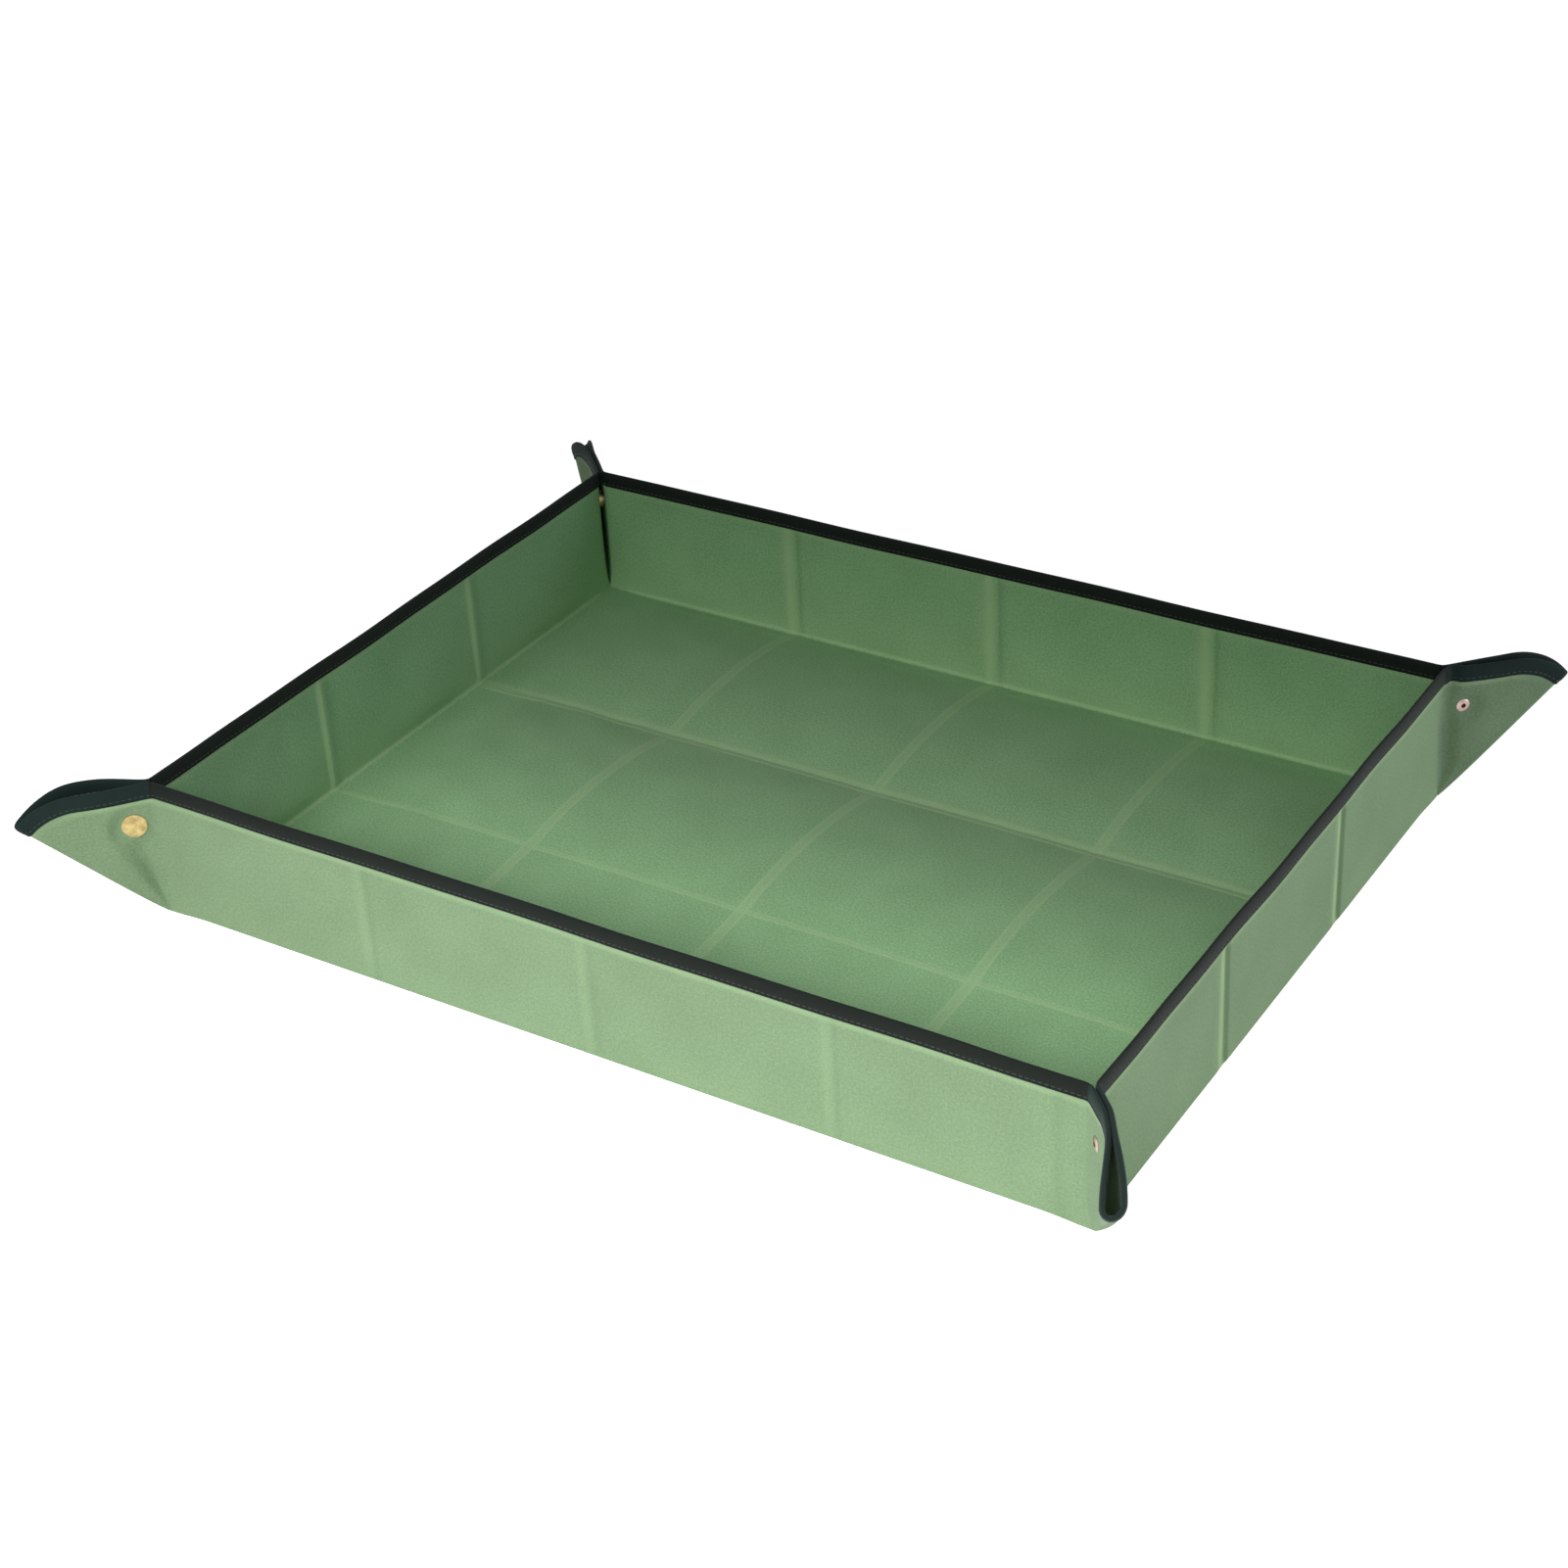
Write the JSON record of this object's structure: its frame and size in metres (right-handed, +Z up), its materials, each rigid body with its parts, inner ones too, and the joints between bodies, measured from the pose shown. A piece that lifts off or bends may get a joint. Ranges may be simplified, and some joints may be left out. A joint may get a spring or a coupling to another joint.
{
  "type": "fold-up potting tray",
  "caption": "Rectangular coated-cloth potting mat with a bound edge, its corners pinched into ears by press studs so that it stands as a shallow tray and folds flat.",
  "frame": {"origin": "centre of the floor panel, on the surface that the tray stands on", "axes": "+X along the long side, +Y from the front wall to the back wall, +Z up out of the tray"},
  "size_m": [0.7336, 0.5786, 0.092],
  "materials": {
    "coated_cloth": "matt sage green coated cloth with a fine grain",
    "binding_tape": "near-black ribbed binding tape",
    "brass": "dull brass",
    "plated_metal": "copper-tinted plated ring"
  },
  "bodies": {
    "floor": {"floor_panel": "coated_cloth"},
    "front_side": {"front_wall": "coated_cloth", "front_binding": "binding_tape"},
    "right_side": {"right_wall": "coated_cloth", "right_binding": "binding_tape"},
    "back_side": {"back_wall": "coated_cloth", "back_binding": "binding_tape"},
    "left_side": {"left_wall": "coated_cloth", "left_binding": "binding_tape"},
    "front_left_ear_front": {"front_left_ear_half_front": "coated_cloth", "front_left_ear_binding_front": "binding_tape", "front_left_cap": "brass", "front_left_socket": "brass"},
    "front_left_ear_left": {"front_left_ear_half_left": "coated_cloth", "front_left_ear_binding_left": "binding_tape", "front_left_stud": "plated_metal", "front_left_eyelet": "plated_metal"},
    "front_right_ear_front": {"front_right_ear_half_front": "coated_cloth", "front_right_ear_binding_front": "binding_tape", "front_right_stud": "plated_metal", "front_right_eyelet": "plated_metal"},
    "front_right_ear_right": {"front_right_ear_half_right": "coated_cloth", "front_right_ear_binding_right": "binding_tape", "front_right_cap": "brass", "front_right_socket": "brass"},
    "back_right_ear_back": {"back_right_ear_half_back": "coated_cloth", "back_right_ear_binding_back": "binding_tape", "back_right_cap": "brass", "back_right_socket": "brass"},
    "back_right_ear_right": {"back_right_ear_half_right": "coated_cloth", "back_right_ear_binding_right": "binding_tape", "back_right_stud": "plated_metal", "back_right_eyelet": "plated_metal"},
    "back_left_ear_back": {"back_left_ear_half_back": "coated_cloth", "back_left_ear_binding_back": "binding_tape", "back_left_stud": "plated_metal", "back_left_eyelet": "plated_metal"},
    "back_left_ear_left": {"back_left_ear_half_left": "coated_cloth", "back_left_ear_binding_left": "binding_tape", "back_left_cap": "brass", "back_left_socket": "brass"}
  },
  "joints": [
    {"name": "front_wall_fold", "type": "hinge", "parent": "floor", "child": "front_side", "pos_m": [0, -0.2331, 0.0005], "axis": [1, 0, 0], "range_deg": [0, 90]},
    {"name": "right_wall_fold", "type": "hinge", "parent": "floor", "child": "right_side", "pos_m": [0.3106, 0, 0.0005], "axis": [0, 1, 0], "range_deg": [0, 90]},
    {"name": "back_wall_fold", "type": "hinge", "parent": "floor", "child": "back_side", "pos_m": [0, 0.2331, 0.0005], "axis": [-1, 0, 0], "range_deg": [0, 90]},
    {"name": "left_wall_fold", "type": "hinge", "parent": "floor", "child": "left_side", "pos_m": [-0.3106, 0, 0.0005], "axis": [0, -1, 0], "range_deg": [0, 90]},
    {"name": "front_left_ear_front_fold", "type": "hinge", "parent": "front_side", "child": "front_left_ear_front", "pos_m": [-0.30678, -0.2331, 0.0005], "axis": [0, 0, -1], "range_deg": [0, 45]},
    {"name": "front_left_ear_left_fold", "type": "hinge", "parent": "left_side", "child": "front_left_ear_left", "pos_m": [-0.3106, -0.22928, 0.0005], "axis": [0, 0, 1], "range_deg": [0, 45]},
    {"name": "front_right_ear_front_fold", "type": "hinge", "parent": "front_side", "child": "front_right_ear_front", "pos_m": [0.30678, -0.2331, 0.0005], "axis": [0, 0, 1], "range_deg": [0, 45]},
    {"name": "front_right_ear_right_fold", "type": "hinge", "parent": "right_side", "child": "front_right_ear_right", "pos_m": [0.3106, -0.22928, 0.0005], "axis": [0, 0, -1], "range_deg": [0, 45]},
    {"name": "back_right_ear_back_fold", "type": "hinge", "parent": "back_side", "child": "back_right_ear_back", "pos_m": [0.30678, 0.2331, 0.0005], "axis": [0, 0, -1], "range_deg": [0, 45]},
    {"name": "back_right_ear_right_fold", "type": "hinge", "parent": "right_side", "child": "back_right_ear_right", "pos_m": [0.3106, 0.22928, 0.0005], "axis": [0, 0, 1], "range_deg": [0, 45]},
    {"name": "back_left_ear_back_fold", "type": "hinge", "parent": "back_side", "child": "back_left_ear_back", "pos_m": [-0.30678, 0.2331, 0.0005], "axis": [0, 0, 1], "range_deg": [0, 45]},
    {"name": "back_left_ear_left_fold", "type": "hinge", "parent": "left_side", "child": "back_left_ear_left", "pos_m": [-0.3106, 0.22928, 0.0005], "axis": [0, 0, -1], "range_deg": [0, 45]}
  ],
  "couplings": [
    {"joint": "right_wall_fold", "follows": "front_wall_fold", "ratio": 1},
    {"joint": "back_wall_fold", "follows": "front_wall_fold", "ratio": 1},
    {"joint": "left_wall_fold", "follows": "front_wall_fold", "ratio": 1},
    {"joint": "front_left_ear_front_fold", "follows": "front_wall_fold", "ratio": 0.5},
    {"joint": "front_left_ear_left_fold", "follows": "front_wall_fold", "ratio": 0.5},
    {"joint": "front_right_ear_front_fold", "follows": "front_wall_fold", "ratio": 0.5},
    {"joint": "front_right_ear_right_fold", "follows": "front_wall_fold", "ratio": 0.5},
    {"joint": "back_right_ear_back_fold", "follows": "front_wall_fold", "ratio": 0.5},
    {"joint": "back_right_ear_right_fold", "follows": "front_wall_fold", "ratio": 0.5},
    {"joint": "back_left_ear_back_fold", "follows": "front_wall_fold", "ratio": 0.5},
    {"joint": "back_left_ear_left_fold", "follows": "front_wall_fold", "ratio": 0.5}
  ]
}
